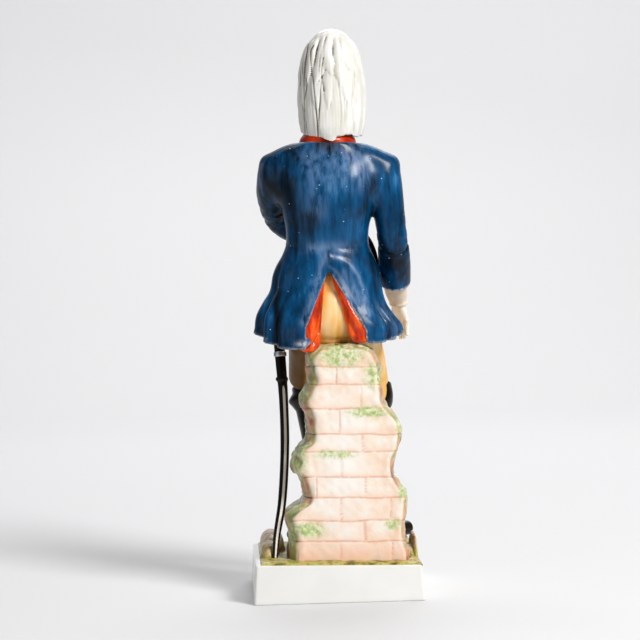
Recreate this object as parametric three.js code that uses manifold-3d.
// A glazed porcelain soldier who sits on a stump of ruined brick wall, on a white plinth.
// Millimetres, +Z up. The soldier faces -Y, and the soldier's left hand is towards +X.
// The origin is the middle of the plinth's underside.

import * as THREE from 'three';
import { LoftGeometry } from 'three/addons/geometries/LoftGeometry.js';
import { mergeVertices } from 'three/addons/utils/BufferGeometryUtils.js';
import Module from 'manifold-3d';

const wasm = await Module();
wasm.setup();

// Plinth and ground.
const PLINTH_BELOW = 87.6;
const PLINTH_ABOVE = 85;
const PLINTH_HEIGHT = 19;
const PLINTH_CORNER = 1.6;
const GROUND_LIFT = 1.4;

// The casting leans over a little on its plinth, which is taller on the left for it.
const LEAN = THREE.MathUtils.degToRad(1.35);
const FIGURE_SHIFT = -1.4;

// Wall: heights of the bed joints, where the upright joints of each course stand, and the
// ragged left and right ends as [height, x].
const WALL_BACK = 34;
const WALL_FRONT = 4;
const WALL_TOP = 131;
const BED_JOINTS = [119.5, 110.5, 98, 85, 76, 63, 52.5, 40.5, 30];
const UPRIGHT_JOINTS = [
  [], [2.6], [-10.1], [1], [-11], [-0.3], [12.7, -12.4], [0, -25.7], [12, -12.4], [22.4, -0.3, -26.7],
];
const JOINT_DEPTH = 0.6;
const JOINT_WIDTH = 1.1;
const LEFT_END = [
  [19, 27.4], [29, 26.4], [38, 27.8], [42, 29], [46, 26], [50, 20.4], [56, 19.4], [61, 21],
  [66, 24.6], [73, 24.4], [77, 23], [81.5, 18], [88, 17.2], [95, 18.6], [100, 20.8], [107, 20.6],
  [112, 16.8], [118, 17.6], [125, 17.4], [129, 14], [WALL_TOP, 8],
];
const RIGHT_END = [
  [19, -36.2], [24, -35.8], [31, -34], [38, -33.8], [48, -34.6], [54, -35], [58, -31.6], [64, -28.4],
  [72, -28], [77, -30.4], [84, -31.8], [91, -30.9], [96, -27], [101, -23], [107, -21.8],
  [112, -21.2], [118, -21.4], [124, -19], [128.5, -15.6], [WALL_TOP, -9],
];

// Coat: the middle of the torso, the waist seam, and the vent at the back of the skirts.
const COAT_MIDDLE_X = 6;
const COAT_MIDDLE_Y = 11.5;
const WAIST_HEIGHT = 181;
const VENT_APEX_HEIGHT = 169;
const SKIRT_THICKNESS = 3.2;

// Half width of the skirts beside the middle line, from the hem up to the waist seam.
const LEFT_FLARE = [
  [126, 37], [133, 36.6], [137.5, 36.8], [145, 36.2], [152, 32.8], [158, 29.6], [166, 28.2],
  [171, 26.4], [176, 23.6], [WAIST_HEIGHT, 21.6],
];
const RIGHT_FLARE = [
  [126, 36.4], [133.5, 36.6], [137, 38.4], [141, 37.8], [146, 33.8], [151, 30.4], [158, 28.4],
  [168, 27.4], [175, 24.4], [WAIST_HEIGHT, 21.6],
];
const BACK_FLARE = [[126, 25.5], [138, 24.5], [150, 21.5], [165, 17.4], [WAIST_HEIGHT, 14.6]];

// Height of the hem from the vent round to the front, as [fraction of the way, height].
const LEFT_HEM = [[0, 128.4], [0.25, 128.6], [0.39, 130.2], [0.57, 132.4], [0.74, 135.2], [1, 136]];
const RIGHT_HEM = [[0, 131.6], [0.15, 131.4], [0.39, 132.4], [0.62, 133.4], [0.81, 136], [1, 136.6]];

// A pleat is a soft ridge or valley that runs down the skirt at one fraction of its width.
const PLEATS = [
  { at: 0.16, width: 0.07, height: 0.7 },
  { at: 0.34, width: 0.07, height: -1.3 },
  { at: 0.47, width: 0.06, height: 1.1 },
  { at: 0.61, width: 0.06, height: -4 },
  { at: 0.8, width: 0.1, height: 0.9 },
];

// Inner edge of each turned-back vent lining, as [height, x].
const LEFT_LINING = [[128, 12.4], [131, 11.8], [137, 10.1], [147, 9.4], [158, 8.4], [167, 6.8]];
const RIGHT_LINING = [[130, -6.4], [133.4, -5.9], [138, -3.6], [150, -0.6], [160.6, 3.1], [167, 4.6]];

// Head: crown to chin is one head, and the face is set out on halves and quarters of it.
const HEAD_HEIGHT = 38;
const HEAD_MIDDLE = new THREE.Vector3(3.8, 1.5, 272.5);
const HEAD_TURN = THREE.MathUtils.degToRad(-8);

// Hair: half width of the mass at each height, from the tips up to the crown.
const HAIR_MIDDLE_X = 3.7;
const HAIR_MIDDLE_Y = 4.8;
const HAIR_LOCKS = 11;
const HAIR_TIPS = 238.8;
const HAIR_TOP = 294.6;
const HAIR_HALF_WIDTH = [
  [233, 12.6], [240, 15], [246, 16.4], [255, 17.3], [264, 17.1], [272, 16.2], [281, 14.2],
  [288, 10.9], [291.4, 7.8], [293.4, 4.4], [HAIR_TOP, 0.8],
];

const X_AXIS = new THREE.Vector3(1, 0, 0);
const Y_AXIS = new THREE.Vector3(0, 1, 0);
const Z_AXIS = new THREE.Vector3(0, 0, 1);
const lerp = THREE.MathUtils.lerp;
const smooth = THREE.MathUtils.smoothstep;

// A closed mesh becomes a solid that can be joined and cut.
function solid(geometry) {
  const bare = new THREE.BufferGeometry().copy(geometry);
  bare.deleteAttribute('normal');
  bare.deleteAttribute('uv');
  const merged = mergeVertices(bare, 1e-4);
  const points = merged.getAttribute('position').array;
  const corners = merged.getIndex().array;
  const kept = [];
  let volume = 0;
  for (let i = 0; i < corners.length; i += 3) {
    const [a, b, c] = [corners[i], corners[i + 1], corners[i + 2]];
    if (a === b || b === c || a === c) continue;
    kept.push(a, b, c);
    const [pa, pb, pc] = [a, b, c].map((n) => new THREE.Vector3().fromArray(points, n * 3));
    volume += pa.dot(pb.cross(pc));
  }
  if (volume < 0) kept.reverse();
  const mesh = new wasm.Mesh({
    numProp: 3,
    vertProperties: Float32Array.from(points),
    triVerts: Uint32Array.from(kept),
  });
  return new wasm.Manifold(mesh);
}

function joined(solids) {
  return solids.reduce((whole, next) => whole.add(next));
}

// Whether a loop turns anticlockwise when it is seen from the next one.
function turnsForward(loop, nextLoop) {
  const facing = new THREE.Vector3();
  const onward = new THREE.Vector3();
  loop.forEach((point, k) => {
    facing.add(new THREE.Vector3().crossVectors(point, loop[(k + 1) % loop.length]));
    onward.add(nextLoop[k]).sub(point);
  });
  return facing.dot(onward) > 0;
}

// The main body of a solid, without any sliver left where two forms meet.
function largest(whole) {
  return whole.decompose().reduce((best, next) => (next.volume() > best.volume() ? next : best));
}

// A closed skin through loops that all have the same number of points.
function skin(loops) {
  const wound = turnsForward(loops[0], loops[1]) ? loops : loops.map((loop) => [...loop].reverse());
  return solid(new LoftGeometry(wound, { capStart: true, capEnd: true }));
}

// A point on a unit oval: square = 2 is an ellipse, and more is boxier.
function oval(angle, square) {
  const power = 2 / square;
  const c = Math.cos(angle);
  const s = Math.sin(angle);
  return [Math.sign(c) * Math.abs(c) ** power, Math.sign(s) * Math.abs(s) ** power];
}

// A smooth value through knots of [position, value].
function through(knots, position) {
  const last = knots.length - 1;
  let k = 0;
  while (k < last - 1 && position > knots[k + 1][0]) k += 1;
  const slope = (a, b) => (knots[b][1] - knots[a][1]) / (knots[b][0] - knots[a][0]);
  const span = knots[k + 1][0] - knots[k][0];
  const startSlope = slope(Math.max(k - 1, 0), k + 1) * span;
  const endSlope = slope(k, Math.min(k + 2, last)) * span;
  const t = THREE.MathUtils.clamp((position - knots[k][0]) / span, 0, 1);
  const rise = t * t * (3 - 2 * t);
  return lerp(knots[k][1], knots[k + 1][1], rise)
    + startSlope * t * (1 - t) ** 2 - endSlope * t * t * (1 - t);
}

// A rounded form along stations of [x, y, z, half width, half depth]. The half width lies
// along `across`, `relief` scales the section at an angle and a fraction of the length, and
// `level` keeps every section level.
function limb(stations, options = {}) {
  const { sides = 12, steps = 8, across = X_AXIS, square = 2, relief = () => 1 } = options;
  const { startDome = 0.8, endDome = 0.8, domeSteps = 1, level = false } = options;
  const centres = new THREE.CatmullRomCurve3(
    stations.map(([x, y, z]) => new THREE.Vector3(x, y, z)), false, 'catmullrom', 0.5);
  const sizes = new THREE.CatmullRomCurve3(
    stations.map((s) => new THREE.Vector3(s[3], s[4], 0)), false, 'catmullrom', 0.5);
  const loops = [];
  let side = across.clone();
  const addLoop = (t, scale, shift) => {
    const tangent = level ? Z_AXIS : centres.getTangent(t);
    side = side.clone().addScaledVector(tangent, -side.dot(tangent)).normalize();
    const deep = new THREE.Vector3().crossVectors(tangent, side);
    const centre = centres.getPoint(t).addScaledVector(tangent, shift);
    const size = sizes.getPoint(t);
    const loop = [];
    for (let k = 0; k < sides; k += 1) {
      const angle = (k / sides) * Math.PI * 2;
      const [u, v] = oval(angle, square);
      const swell = scale * relief(angle, t);
      const point = centre.clone().addScaledVector(side, u * size.x * swell);
      loop.push(point.addScaledVector(deep, v * size.y * swell));
    }
    loops.push(loop);
  };
  const addDome = (t, reach, directionSign) => {
    const size = sizes.getPoint(t);
    const depth = Math.min(size.x, size.y) * reach;
    for (let k = 1; k <= domeSteps; k += 1) {
      const rise = directionSign < 0 ? domeSteps + 1 - k : k;
      const phi = (rise / (domeSteps + 1)) * Math.PI / 2;
      addLoop(t, Math.cos(phi), directionSign * depth * Math.sin(phi));
    }
  };
  if (startDome > 0) addDome(0, startDome, -1);
  for (let k = 0; k <= steps; k += 1) addLoop(k / steps, 1, 0);
  if (endDome > 0) addDome(1, endDome, 1);
  return skin(loops);
}

// An ellipsoid.
function bulge(x, y, z, halfX, halfY, halfZ, sides = 12) {
  const ball = new THREE.SphereGeometry(1, sides, sides / 2);
  ball.rotateX(Math.PI / 2);
  ball.scale(halfX, halfY, halfZ);
  ball.translate(x, y, z);
  return solid(ball);
}

// A loop of a rounded rectangle at one height.
function blockLoop(left, right, front, back, height, corner) {
  const cornerSteps = 2;
  const middles = [
    [left - corner, back - corner, 0],
    [right + corner, back - corner, 1],
    [right + corner, front + corner, 2],
    [left - corner, front + corner, 3],
  ];
  const loop = [];
  for (const [x, y, quarter] of middles) {
    for (let k = 0; k <= cornerSteps; k += 1) {
      const angle = (quarter + k / cornerSteps) * Math.PI / 2;
      loop.push(new THREE.Vector3(
        x + corner * Math.cos(angle), y + corner * Math.sin(angle), height));
    }
  }
  return loop;
}

// The top of the plinth is sloped to suit the lean.
function plinth() {
  const below = PLINTH_BELOW / 2;
  const above = PLINTH_ABOVE / 2;
  const rim = 0.7;
  const loops = [
    blockLoop(below, -below, -below, below, 0, PLINTH_CORNER),
    blockLoop(above, -above, -above, above, PLINTH_HEIGHT - rim, PLINTH_CORNER),
    blockLoop(above - rim, rim - above, rim - above, above - rim, PLINTH_HEIGHT, PLINTH_CORNER),
  ];
  loops.flat().forEach((point) => {
    point.z *= 1 + point.x * Math.tan(LEAN) / PLINTH_HEIGHT;
  });
  return skin(loops);
}

function ground() {
  const edge = PLINTH_ABOVE / 2 - 1.2;
  const low = PLINTH_HEIGHT;
  const turf = skin([
    blockLoop(edge, -edge, -edge, edge, low - 1, 6),
    blockLoop(edge, -edge, -edge, edge, low + GROUND_LIFT * 0.5, 6),
    blockLoop(edge - 2, 2 - edge, 2 - edge, edge - 2, low + GROUND_LIFT, 6),
  ]);
  return joined([
    turf,
    bulge(-32, -29, low, 9, 10, 7, 8),
    bulge(-33, 6, low, 7, 15, 6, 8),
    bulge(-37.4, 6, low, 3.2, 17, 13, 8),
    bulge(35, -12, low, 6.2, 24, 12, 8),
    bulge(37, 10, low, 4.4, 16, 7, 8),
    bulge(4, -34, low, 15, 7.5, 5, 8),
  ]);
}

// Brick joints that stand upright in each course.
function uprightJoints() {
  const cutters = [];
  const tops = [WALL_TOP - 4, ...BED_JOINTS];
  tops.forEach((top, course) => {
    const bottom = tops[course + 1] ?? PLINTH_HEIGHT + GROUND_LIFT;
    for (const x of UPRIGHT_JOINTS[course]) {
      const slot = new THREE.BoxGeometry(JOINT_WIDTH, JOINT_DEPTH * 2, top - bottom);
      slot.translate(x, WALL_BACK, (top + bottom) / 2);
      cutters.push(solid(slot));
    }
  });
  return joined(cutters);
}

function wall() {
  const heights = [];
  heights.push([PLINTH_HEIGHT - 1, 0]);
  BED_JOINTS.forEach((z, course) => {
    const above = course > 0 ? BED_JOINTS[course - 1] : WALL_TOP - 3;
    heights.push([z - JOINT_WIDTH, 0], [z, JOINT_DEPTH], [z + JOINT_WIDTH, 0], [(z + above) / 2, 0]);
  });
  heights.push([WALL_TOP - 2.6, 1.2], [WALL_TOP - 0.8, 4], [WALL_TOP, 7.5]);
  heights.sort((a, b) => a[0] - b[0]);
  const loops = heights.map(([z, inset]) => {
    const left = through(LEFT_END, z) - inset * 0.5;
    const right = through(RIGHT_END, z) + inset * 0.5;
    const lump = 1.3 * Math.sin(z * 0.31);
    const crown = 0.3;
    const front = WALL_FRONT + inset;
    const back = WALL_BACK - inset;
    const loop = [];
    const deep = (part) => lerp(front, back, part);
    const edges = [
      [left - 5.5, back], [left - 1.6, deep(0.84)], [left, deep(0.5) + lump],
      [left - 4.5, front], [(left + right) / 2, front - crown], [right + 4, front],
      [right, deep(0.5) - lump], [right + 1, deep(0.87)],
      [right + 3.2, back], [(left + right) / 2, back + crown],
    ];
    edges.forEach(([x, y]) => loop.push(new THREE.Vector3(x, y, z)));
    return loop;
  });
  return skin(loops).subtract(uprightJoints());
}

function skirtPoint(sideSign, across, down, inset) {
  const hem = through(sideSign > 0 ? LEFT_HEM : RIGHT_HEM, across);
  const z = lerp(WAIST_HEIGHT + 2, hem, down);
  const flare = sideSign > 0 ? LEFT_FLARE : RIGHT_FLARE;
  const halfWidth = through(flare, z) - inset;
  const halfDepth = through(BACK_FLARE, z) - inset;
  const drop = Math.max(0, VENT_APEX_HEIGHT - z);
  const gape = sideSign > 0 ? Math.min(drop * 0.4, 11.8) : Math.min(drop * 0.6, 18.6);
  const ventAngle = Math.asin(Math.min(0.8, gape / halfWidth));
  const frontAngle = THREE.MathUtils.degToRad(lerp(112, 104, down));
  const angle = lerp(ventAngle, frontAngle, across);
  const fall = down ** 1.5;
  const fold = PLEATS.reduce((sum, p) =>
    sum + p.height * Math.exp(-(((across - p.at) / p.width) ** 2)), 0) * fall;
  const [sideways, backwards] = [Math.sin(angle), Math.cos(angle)];
  const forward = backwards < 0 ? 1.5 : 1;
  return new THREE.Vector3(
    COAT_MIDDLE_X + sideSign * sideways * (halfWidth + fold),
    COAT_MIDDLE_Y + backwards * (halfDepth * forward + fold), z);
}

function skirt(sideSign) {
  const columns = 12;
  const rows = 7;
  const loops = [];
  for (let row = 0; row <= rows; row += 1) {
    const loop = [];
    for (let c = 0; c <= columns; c += 1) {
      loop.push(skirtPoint(sideSign, c / columns, row / rows, 0));
    }
    for (let c = columns; c >= 0; c -= 2) {
      loop.push(skirtPoint(sideSign, c / columns, row / rows, SKIRT_THICKNESS));
    }
    loops.push(loop);
  }
  return skin(loops);
}

// The turned-back lining of the vent: from the skirt's edge in to the breeches.
function lining(sideSign) {
  const edge = sideSign > 0 ? LEFT_LINING : RIGHT_LINING;
  const seatMiddle = 148;
  const loops = [];
  const rows = 6;
  for (let row = 0; row <= rows; row += 1) {
    const t = row / rows;
    const outer = skirtPoint(sideSign, 0.02, lerp(0.26, 0.995, t), 0.9);
    const innerZ = outer.z + 1 + (sideSign > 0 ? 3 : 1.5) * t;
    const fromMiddle = THREE.MathUtils.clamp((innerZ - seatMiddle) / 21, -0.95, 0.95);
    const innerY = 13.8 + 14.4 * Math.sqrt(1 - fromMiddle ** 2);
    const inner = new THREE.Vector3(through(edge, innerZ), innerY, innerZ);
    const middle = outer.clone().lerp(inner, 0.5).add(new THREE.Vector3(0, 0.3 + 1.5 * t, 0));
    const thick = new THREE.Vector3(sideSign * 1.2, -2.2, 0);
    loops.push([outer, outer.clone().add(thick), inner.clone().add(thick), inner, middle]);
  }
  return skin(loops);
}

function torso() {
  const spineGroove = (angle, t) => {
    const behind = Math.exp(-(((angle - Math.PI / 2) / 0.16) ** 2));
    return 1 - 0.05 * behind * Math.sin(Math.PI * Math.min(1, t * 1.1));
  };
  const back = limb([
    [6, 11.6, 160, 19, 13],
    [6, 11.6, 171, 21, 14],
    [6, 11.5, 181, 21.3, 14.2],
    [6, 11.2, 191, 21.8, 15.4],
    [5.8, 10.6, 203, 24.6, 16.6],
    [5.8, 9.6, 215, 27.2, 16.4],
    [5.8, 8.8, 224, 28.4, 14],
    [5.8, 8.2, 230, 25.4, 11.8],
    [5.7, 7.2, 235, 15.6, 12.4],
  ], { sides: 18, steps: 8, square: 2.3, level: true, relief: spineGroove, startDome: 0, endDome: 0 });
  const shoulders = limb([
    [-24.6, 8.6, 220.8, 9.2, 9.8], [-10.4, 8, 228.4, 6.6, 10], [5.8, 7.4, 229, 5, 10.6],
    [21.6, 7.6, 228.4, 6.6, 10], [33.8, 7.4, 221, 9, 9.4],
  ], { sides: 10, steps: 6, across: Z_AXIS });
  return back.add(shoulders);
}

function rightSleeve() {
  const sleeve = limb([
    [-19.6, 8.5, 222, 10.6, 9.8],
    [-23, 9, 217, 9.8, 10.6],
    [-25.4, 10, 204, 8.8, 9.8],
    [-27.2, 11, 191, 7.9, 8.8],
    [-28.6, 9.6, 180, 7.6, 8],
    [-29.8, 3, 170, 7.3, 7.4],
    [-30.4, -3, 163, 7.2, 7.2],
  ], { sides: 10, steps: 6, startDome: 0.7, endDome: 0 });
  const cuffLip = limb([
    [-28.6, 9.4, 181, 8.3, 8.4],
    [-29.5, 4, 172, 8.5, 8.6],
    [-30.5, -3.6, 162.4, 8.3, 8.5],
  ], { sides: 10, steps: 2, startDome: 0, endDome: 0 });
  const shirtCuff = limb([
    [-30.4, -4, 162, 6.4, 6],
    [-31.6, -7.6, 156.8, 5.9, 5.6],
    [-32.8, -10.8, 151, 4.9, 4.6],
  ], { sides: 8, steps: 2, startDome: 0, endDome: 0 });
  return joined([sleeve, cuffLip, shirtCuff]);
}

function leftSleeve() {
  const sleeve = limb([
    [30.8, 8, 222, 10.4, 9.8],
    [33, 5.6, 217.5, 9.4, 10.6],
    [34, -2, 208, 8.6, 9.4],
    [31.8, -10.6, 199, 7.6, 8.4],
    [27.4, -15.4, 193, 7.4, 7.6],
    [20, -18, 189, 7, 7],
    [14, -18.4, 187, 7, 7],
  ], { sides: 10, steps: 6, startDome: 0.7, endDome: 0 });
  const cuffLip = limb([
    [19.4, -18, 188.6, 7.9, 7.9],
    [12.4, -18.4, 186.6, 8, 8],
  ], { sides: 10, steps: 1, across: Y_AXIS, startDome: 0, endDome: 0 });
  const shirtCuff = limb([
    [13, -18.4, 187, 5.6, 5.6],
    [8, -18, 185.4, 4.4, 4.4],
  ], { sides: 8, steps: 1, across: Y_AXIS, startDome: 0, endDome: 0 });
  return joined([sleeve, cuffLip, shirtCuff]);
}

// A relaxed hand: a flat palm, four fingers beside each other, and a thumb.
function hand(wrist, knuckles, fingertips, across, thumbSide) {
  const flatHalf = 2.1;
  const palm = limb([
    [...wrist.toArray(), 3.2, 2.9],
    [...wrist.clone().lerp(knuckles, 0.5).toArray(), 4.2, 2.6],
    [...knuckles.toArray(), 4.8, flatHalf],
  ], { sides: 6, steps: 2, across, startDome: 0, endDome: 0.4 });
  const fingers = [];
  const lengths = [0.86, 1, 0.94, 0.74];
  lengths.forEach((length, k) => {
    const offset = (1.5 - k) * 2.7 * thumbSide;
    const root = knuckles.clone().addScaledVector(across, offset);
    const tip = knuckles.clone().lerp(fingertips, length).addScaledVector(across, offset * 0.9);
    const bend = root.clone().lerp(tip, 0.5).add(new THREE.Vector3(0, -0.5, 0.5));
    fingers.push(limb([
      [...root.toArray(), 1.35, 1.5],
      [...bend.toArray(), 1.3, 1.35],
      [...tip.toArray(), 1, 1],
    ], { sides: 4, steps: 2, across, startDome: 0, endDome: 0 }));
  });
  const thumbRoot = wrist.clone().lerp(knuckles, 0.3).addScaledVector(across, 3 * thumbSide);
  const thumbTip = knuckles.clone().lerp(fingertips, 0.25).addScaledVector(across, 6 * thumbSide);
  const thumb = limb([
    [...thumbRoot.toArray(), 1.8, 1.8],
    [...thumbTip.toArray(), 1.2, 1.2],
  ], { sides: 4, steps: 1, across, startDome: 0, endDome: 0 });
  return joined([palm, ...fingers, thumb]);
}

function hands() {
  const rightHand = hand(
    new THREE.Vector3(-32.8, -10.6, 152.2), new THREE.Vector3(-34.6, -14.6, 143.4),
    new THREE.Vector3(-35.6, -18, 131.8), new THREE.Vector3(-0.7, 0.7, -0.2).normalize(), -1);
  const leftHand = hand(
    new THREE.Vector3(8.4, -18, 185.4), new THREE.Vector3(0.6, -15.6, 183.4),
    new THREE.Vector3(-10, -10.4, 181.6), new THREE.Vector3(0, -0.25, 1).normalize(), 1);
  return joined([rightHand, leftHand]);
}

function legs() {
  const seat = bulge(5, 13.4, 146, 20.6, 14.8, 18).add(bulge(5.4, 12.4, 160, 17, 12.4, 12, 10));
  const rightThigh = limb([
    [-4, 14, 144, 12.5, 12.5],
    [-10, 2, 136, 11.4, 11.6],
    [-16.6, -13, 124, 9.8, 10.4],
    [-22.4, -28.6, 108, 8.2, 8.6],
  ], { sides: 10, steps: 5, startDome: 0.5 });
  const leftThigh = limb([
    [13, 14, 144, 12.5, 12.5],
    [14.6, 0, 135, 11.2, 11.6],
    [16, -14, 124.5, 9.6, 10.4],
    [17.6, -29.4, 109, 8.2, 8.6],
  ], { sides: 10, steps: 5, startDome: 0.5 });
  return joined([seat, rightThigh, leftThigh]);
}

// A riding boot: a cuff below the knee, the shaft, a heel, and a foot that points outwards.
function boot(knee, ankle, toe) {
  const shin = (t, r, d) => [...knee.clone().lerp(ankle, t).toArray(), r, d];
  const shaft = limb([
    shin(0, 7.9, 8), shin(0.16, 6.7, 7.4), shin(0.36, 6, 7.2), shin(0.7, 5, 5.8), shin(1, 4.4, 5.2),
  ], { sides: 10, steps: 5, startDome: 0, endDome: 0 });
  const cuff = limb([
    shin(-0.07, 8.6, 8.8), shin(0.04, 9, 9.2), shin(0.13, 8.5, 8.8),
  ], { sides: 10, steps: 2, startDome: 0, endDome: 0 });
  const reach = toe.clone().sub(ankle).setZ(0);
  const ahead = reach.clone().normalize();
  const across = new THREE.Vector3(-ahead.y, ahead.x, 0);
  const sole = toe.z;
  const along = (distance, height, wide, high) => {
    const spot = ankle.clone().addScaledVector(ahead, distance).setZ(sole + height);
    return [...spot.toArray(), wide, high];
  };
  const length = reach.length();
  const foot = limb([
    along(-4.6, 5, 3.8, 4.6), along(2, 5.4, 4.4, 5.2), along(length * 0.45, 4.6, 4.7, 4.4),
    along(length * 0.75, 4, 5, 3.8), along(length, 3.6, 4.2, 3.2),
  ], { sides: 8, steps: 5, across, startDome: 0.4, endDome: 0.6 });
  const heel = limb([along(-5, 1.2, 3.8, 2.6), along(3, 1.2, 4, 2.6)],
    { steps: 1, across, square: 4, sides: 8, startDome: 0, endDome: 0 });
  return joined([shaft, cuff, foot, heel]);
}

function boots() {
  return joined([
    boot(new THREE.Vector3(-22.6, -30, 104), new THREE.Vector3(-20, -14, 34),
      new THREE.Vector3(-37.4, -25, 25.2)),
    boot(new THREE.Vector3(17.4, -30.6, 105), new THREE.Vector3(5, -12, 28),
      new THREE.Vector3(22, -35, 21)),
  ]);
}

// The curved scabbard stands on the ground and hangs under the coat, with its hilt forwards.
function sabre() {
  const scabbard = limb([
    [33.6, 26, 19, 1.6, 1.4],
    [32.6, 23.6, 32, 2, 1.5],
    [29.6, 17, 50, 2.3, 1.7],
    [28, 7, 76, 2.4, 1.8],
    [28.4, -1, 100, 2.5, 1.9],
    [29.6, -7, 118, 2.8, 2],
    [31, -12, 135, 2.9, 2.1],
    [32, -15.6, 146, 2.9, 2.2],
  ], { sides: 6, steps: 9, startDome: 0.2, endDome: 0 });
  const band = (x, y, z, half) => limb([
    [x, y, z - half, 3.4, 2.7], [x, y, z + half, 3.4, 2.7],
  ], { sides: 6, steps: 1, startDome: 0, endDome: 0 });
  const guard = limb([
    [28, -20.4, 145, 2, 1.4], [31.8, -15.8, 147.4, 2.6, 1.6], [35, -11, 149, 1.8, 1.3],
  ], { sides: 6, steps: 2, across: Y_AXIS });
  const grip = limb([
    [31.8, -15.8, 147, 2.2, 2.2], [31.8, -18, 156, 2.4, 2.4], [30.2, -19.6, 165, 2.5, 2.7],
  ], { sides: 7, steps: 2 });
  const knuckleBow = limb([
    [28.6, -20.2, 145.6, 1, 1], [27.6, -25.4, 152, 1, 1], [28.2, -25, 160, 1, 1], [30, -20.8, 165.8, 1, 1],
  ], { sides: 4, steps: 4, startDome: 0, endDome: 0 });
  const bands = [band(30, -8.2, 124, 1.1), band(29, -4.8, 111, 0.6)];
  return joined([scabbard, ...bands, guard, grip, knuckleBow]);
}

function collarAndChest() {
  const collar = limb([
    [5.6, 7.2, 232.6, 15.2, 12], [5.6, 6.8, 236.4, 14.6, 12], [5.4, 6, 240, 12.8, 11],
  ], { sides: 14, steps: 2, level: true, startDome: 0, endDome: 0 });
  const cravat = limb([
    [4.8, 2, 238, 10.4, 9.6], [4.4, 1.4, 243, 9.6, 9], [4, 1.4, 248, 8.6, 8.6],
  ], { sides: 10, steps: 2, level: true, startDome: 0, endDome: 0.2 });
  const knot = bulge(4.4, -8.6, 236.6, 4.4, 3.4, 5.4, 8);
  const pieces = [collar, cravat, knot];
  for (const sideSign of [1, -1]) {
    const x = (reach) => COAT_MIDDLE_X - 0.6 + sideSign * reach;
    pieces.push(limb([
      [x(6.4), -4.2, 235.5, 3.2, 1.6],
      [x(10.4), -5.6, 224, 5.4, 1.7],
      [x(10.8), -6.4, 210, 5, 1.7],
      [x(8.8), -5, 195, 3.8, 1.5],
      [x(7.4), -2.8, 183, 2.8, 1.4],
    ], { sides: 6, steps: 6, square: 3 }));
  }
  return joined(pieces);
}

// The face is set out on the head's own axes, looking along -Y, and turned into place.
function face() {
  const h = HEAD_HEIGHT;
  const at = (x, y, z) => new THREE.Vector3(x * h, y * h, z * h)
    .applyAxisAngle(Z_AXIS, HEAD_TURN).add(HEAD_MIDDLE);
  const across = X_AXIS.clone().applyAxisAngle(Z_AXIS, HEAD_TURN);
  const station = (x, y, z, wide, deep) => [...at(x, y, z).toArray(), wide * h, deep * h];
  const form = (stations, options) => limb(stations.map((s) => station(...s)),
    { across, ...options });
  const skull = form([
    [0, -0.2, -0.49, 0.11, 0.12], [0, -0.17, -0.43, 0.19, 0.2], [0, -0.1, -0.34, 0.255, 0.29],
    [0, -0.03, -0.22, 0.3, 0.36], [0, 0.01, 0, 0.34, 0.4], [0, 0.02, 0.16, 0.345, 0.41],
    [0, 0.02, 0.32, 0.3, 0.35], [0, 0.02, 0.43, 0.2, 0.24],
  ], { sides: 12, steps: 7, square: 2.2, level: true, startDome: 0.4, endDome: 0 });
  const pieces = [skull];
  pieces.push(form([
    [0, -0.37, 0.08, 0.032, 0.03], [0, -0.415, -0.06, 0.038, 0.05], [0, -0.455, -0.185, 0.055, 0.05],
    [0, -0.4, -0.235, 0.05, 0.03],
  ], { sides: 6, steps: 3, startDome: 0, endDome: 0.4 }));
  pieces.push(form([
    [-0.1, -0.365, -0.315, 0.022, 0.03], [0, -0.4, -0.305, 0.03, 0.035], [0.1, -0.365, -0.315, 0.022, 0.03],
  ], { sides: 4, steps: 2, across: Y_AXIS, startDome: 0, endDome: 0 }));
  pieces.push(form([
    [-0.08, -0.36, -0.355, 0.02, 0.03], [0, -0.385, -0.365, 0.03, 0.035], [0.08, -0.36, -0.355, 0.02, 0.03],
  ], { sides: 4, steps: 2, across: Y_AXIS, startDome: 0, endDome: 0 }));
  pieces.push(form([[0, -0.33, -0.43, 0.09, 0.05], [0, -0.32, -0.47, 0.08, 0.05]], { sides: 6, steps: 1 }));
  for (const sign of [1, -1]) {
    pieces.push(form([
      [sign * 0.05, -0.385, 0.075, 0.02, 0.03], [sign * 0.15, -0.385, 0.1, 0.022, 0.035],
      [sign * 0.25, -0.3, 0.07, 0.02, 0.03],
    ], { sides: 4, steps: 2, across: Y_AXIS, startDome: 0, endDome: 0 }));
    pieces.push(form([
      [sign * 0.065, -0.345, -0.005, 0.03, 0.02], [sign * 0.13, -0.365, 0, 0.045, 0.03],
      [sign * 0.19, -0.32, -0.005, 0.03, 0.02],
    ], { sides: 4, steps: 2, across: Y_AXIS, startDome: 0, endDome: 0 }));
    pieces.push(form([
      [sign * 0.1, -0.34, -0.12, 0.05, 0.07], [sign * 0.19, -0.27, -0.16, 0.06, 0.07],
    ], { sides: 6, steps: 1, startDome: 0.3, endDome: 0.3 }));
  }
  const neck = limb([[4.6, 5, 232, 9, 9], [4.2, 3, 250, 8.6, 9], [3.8, 1.5, 260, 9, 10]],
    { sides: 10, steps: 2, level: true, startDome: 0, endDome: 0 });
  return joined([...pieces, neck]);
}

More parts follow.
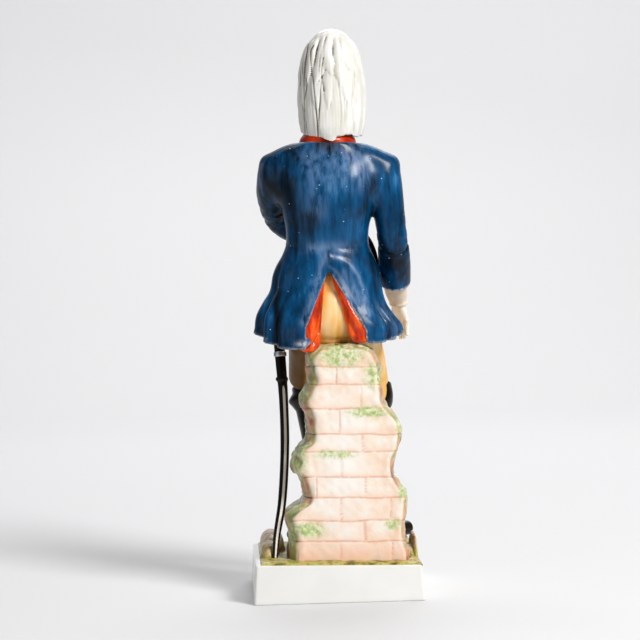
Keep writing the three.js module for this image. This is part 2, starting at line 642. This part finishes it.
// A point of the hair: the heading is 0 at the back, and `fall` runs from crown to tips.
function hairPoint(heading, fall) {
  const lockWave = Math.cos(HAIR_LOCKS * heading);
  const middleLock = 4 * Math.exp(-(((heading - 0.12) / 0.2) ** 2));
  const tips = HAIR_TIPS - middleLock - 1.4 * lockWave + 3.5 * Math.abs(Math.sin(heading)) ** 3;
  const z = lerp(HAIR_TOP, tips, Math.sin(fall * Math.PI / 2) ** 1.5);
  const tierEdge = 264.5 - 1.8 * Math.cos(HAIR_LOCKS * heading + Math.PI);
  const upper = smooth(z, tierEdge - 0.8, tierEdge + 0.8);
  const wave = lerp(lockWave, -lockWave, upper) * smooth(HAIR_TOP - z, 2, 16);
  const atFront = smooth(Math.abs(heading), 1.75, 2.35) * (1 - smooth(z, 262, 274));
  const full = through(HAIR_HALF_WIDTH, z) + 0.75 * wave + 0.5 * upper;
  const reach = lerp(full, 8.5, atFront);
  return new THREE.Vector3(
    HAIR_MIDDLE_X + Math.sin(heading) * reach,
    HAIR_MIDDLE_Y + Math.cos(heading) * reach * 0.97, z);
}

function hair() {
  const columns = 33;
  const rows = 9;
  const loops = [];
  for (let row = 0; row <= rows; row += 1) {
    const loop = [];
    for (let k = 0; k < columns; k += 1) {
      loop.push(hairPoint((k / columns) * 2 * Math.PI - Math.PI, row / rows));
    }
    loops.push(loop);
  }
  return skin(loops);
}

// The inside of the coat's right front edge, between the sleeve and the waist.
function coatFront() {
  return limb([
    [-17.8, -3, 181.6, 3.2, 1.8], [-19.4, -4, 175, 4.4, 2.2], [-21.6, -4, 166, 5, 2.2],
    [-23.2, -4, 157, 5, 2.2],
  ], { sides: 6, steps: 3 });
}

function geometryOf(whole) {
  const { vertProperties, triVerts } = whole.getMesh();
  const geometry = new THREE.BufferGeometry();
  geometry.setAttribute('position', new THREE.BufferAttribute(Float32Array.from(vertProperties), 3));
  geometry.setIndex(new THREE.BufferAttribute(Uint32Array.from(triVerts), 1));
  return geometry;
}

function figurine() {
  const upright = joined([
    ground(), wall(), legs(), boots(), torso(), skirt(1), skirt(-1), lining(1), lining(-1), coatFront(),
    rightSleeve(), leftSleeve(), hands(), collarAndChest(), face(), hair(), sabre(),
  ]);
  const leaning = geometryOf(upright);
  leaning.translate(0, 0, -PLINTH_HEIGHT);
  leaning.rotateY(-LEAN);
  leaning.translate(FIGURE_SHIFT, 0, PLINTH_HEIGHT);
  return largest(plinth().add(solid(leaning)));
}

const glaze = new THREE.MeshStandardMaterial({ color: 0xf1efe9, roughness: 0.15, metalness: 0 });
const body = new THREE.Mesh(geometryOf(figurine()), glaze);
body.name = 'porcelain_figurine';

const model = new THREE.Group();
model.add(body);

export default model;
